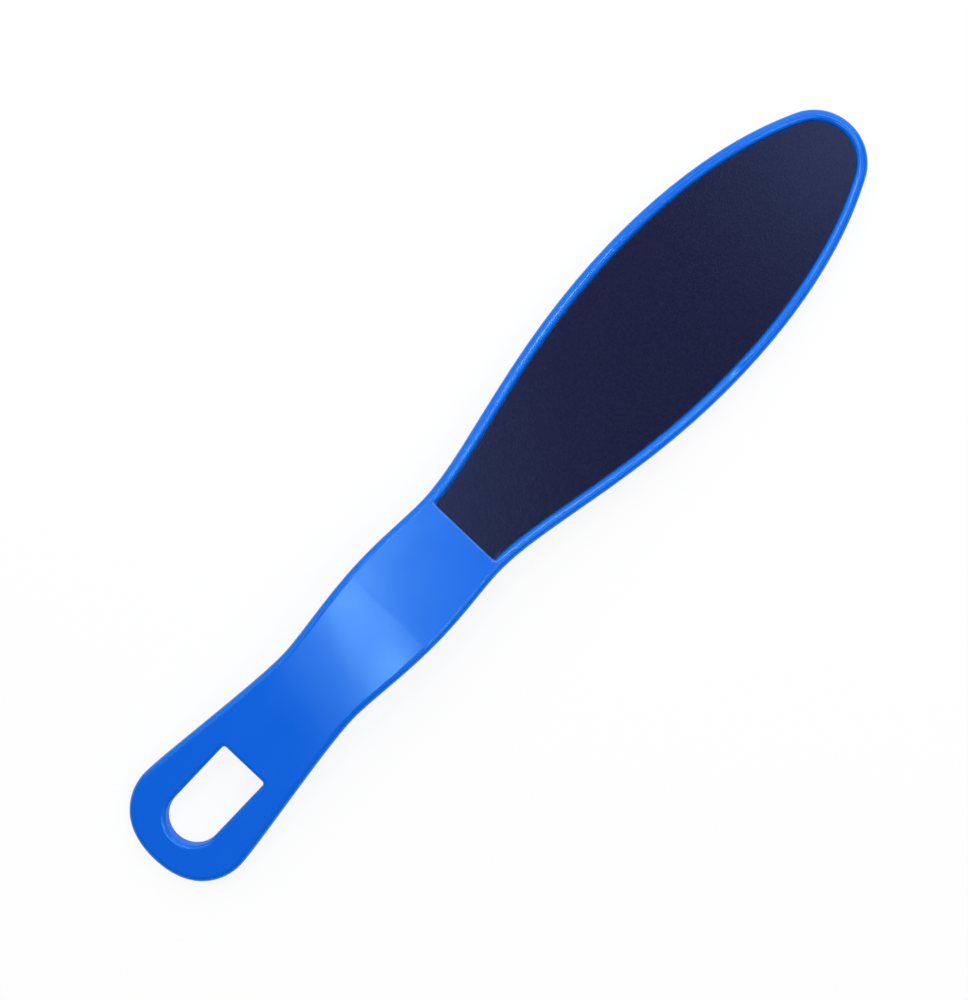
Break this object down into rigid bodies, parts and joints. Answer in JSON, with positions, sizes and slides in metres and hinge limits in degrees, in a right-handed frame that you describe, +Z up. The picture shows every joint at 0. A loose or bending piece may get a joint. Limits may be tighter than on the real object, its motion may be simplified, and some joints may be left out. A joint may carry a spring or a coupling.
{
  "type": "foot file",
  "caption": "Flat paddle-shaped foot file with a bent plastic handle, a hanging hole and a recessed abrasive sheet inside a raised rim on each face.",
  "frame": {"origin": "on the table, under the middle of the part's length and width as it lies on the edge of the handle's end and the edge of the paddle's tip", "axes": "+X from the handle to the tip of the paddle, +Y across, +Z up out of the front sheet's side"},
  "size_m": [0.2604, 0.0478, 0.014],
  "materials": {
    "blue_plastic": "glossy injection-moulded polypropylene",
    "adhesive": "tacky pressure-sensitive acrylic film",
    "backing_paper": "grey latex-treated paper with a die-cut edge",
    "front_grit": "fine navy abrasive grain in resin",
    "back_grit": "coarser navy abrasive grain in resin"
  },
  "bodies": {
    "root": {"moulded_body": "blue_plastic", "front_adhesive_film": "adhesive", "front_backing_paper": "backing_paper", "front_grit_coat": "front_grit", "back_adhesive_film": "adhesive", "back_backing_paper": "backing_paper", "back_grit_coat": "back_grit"}
  },
  "joints": []
}
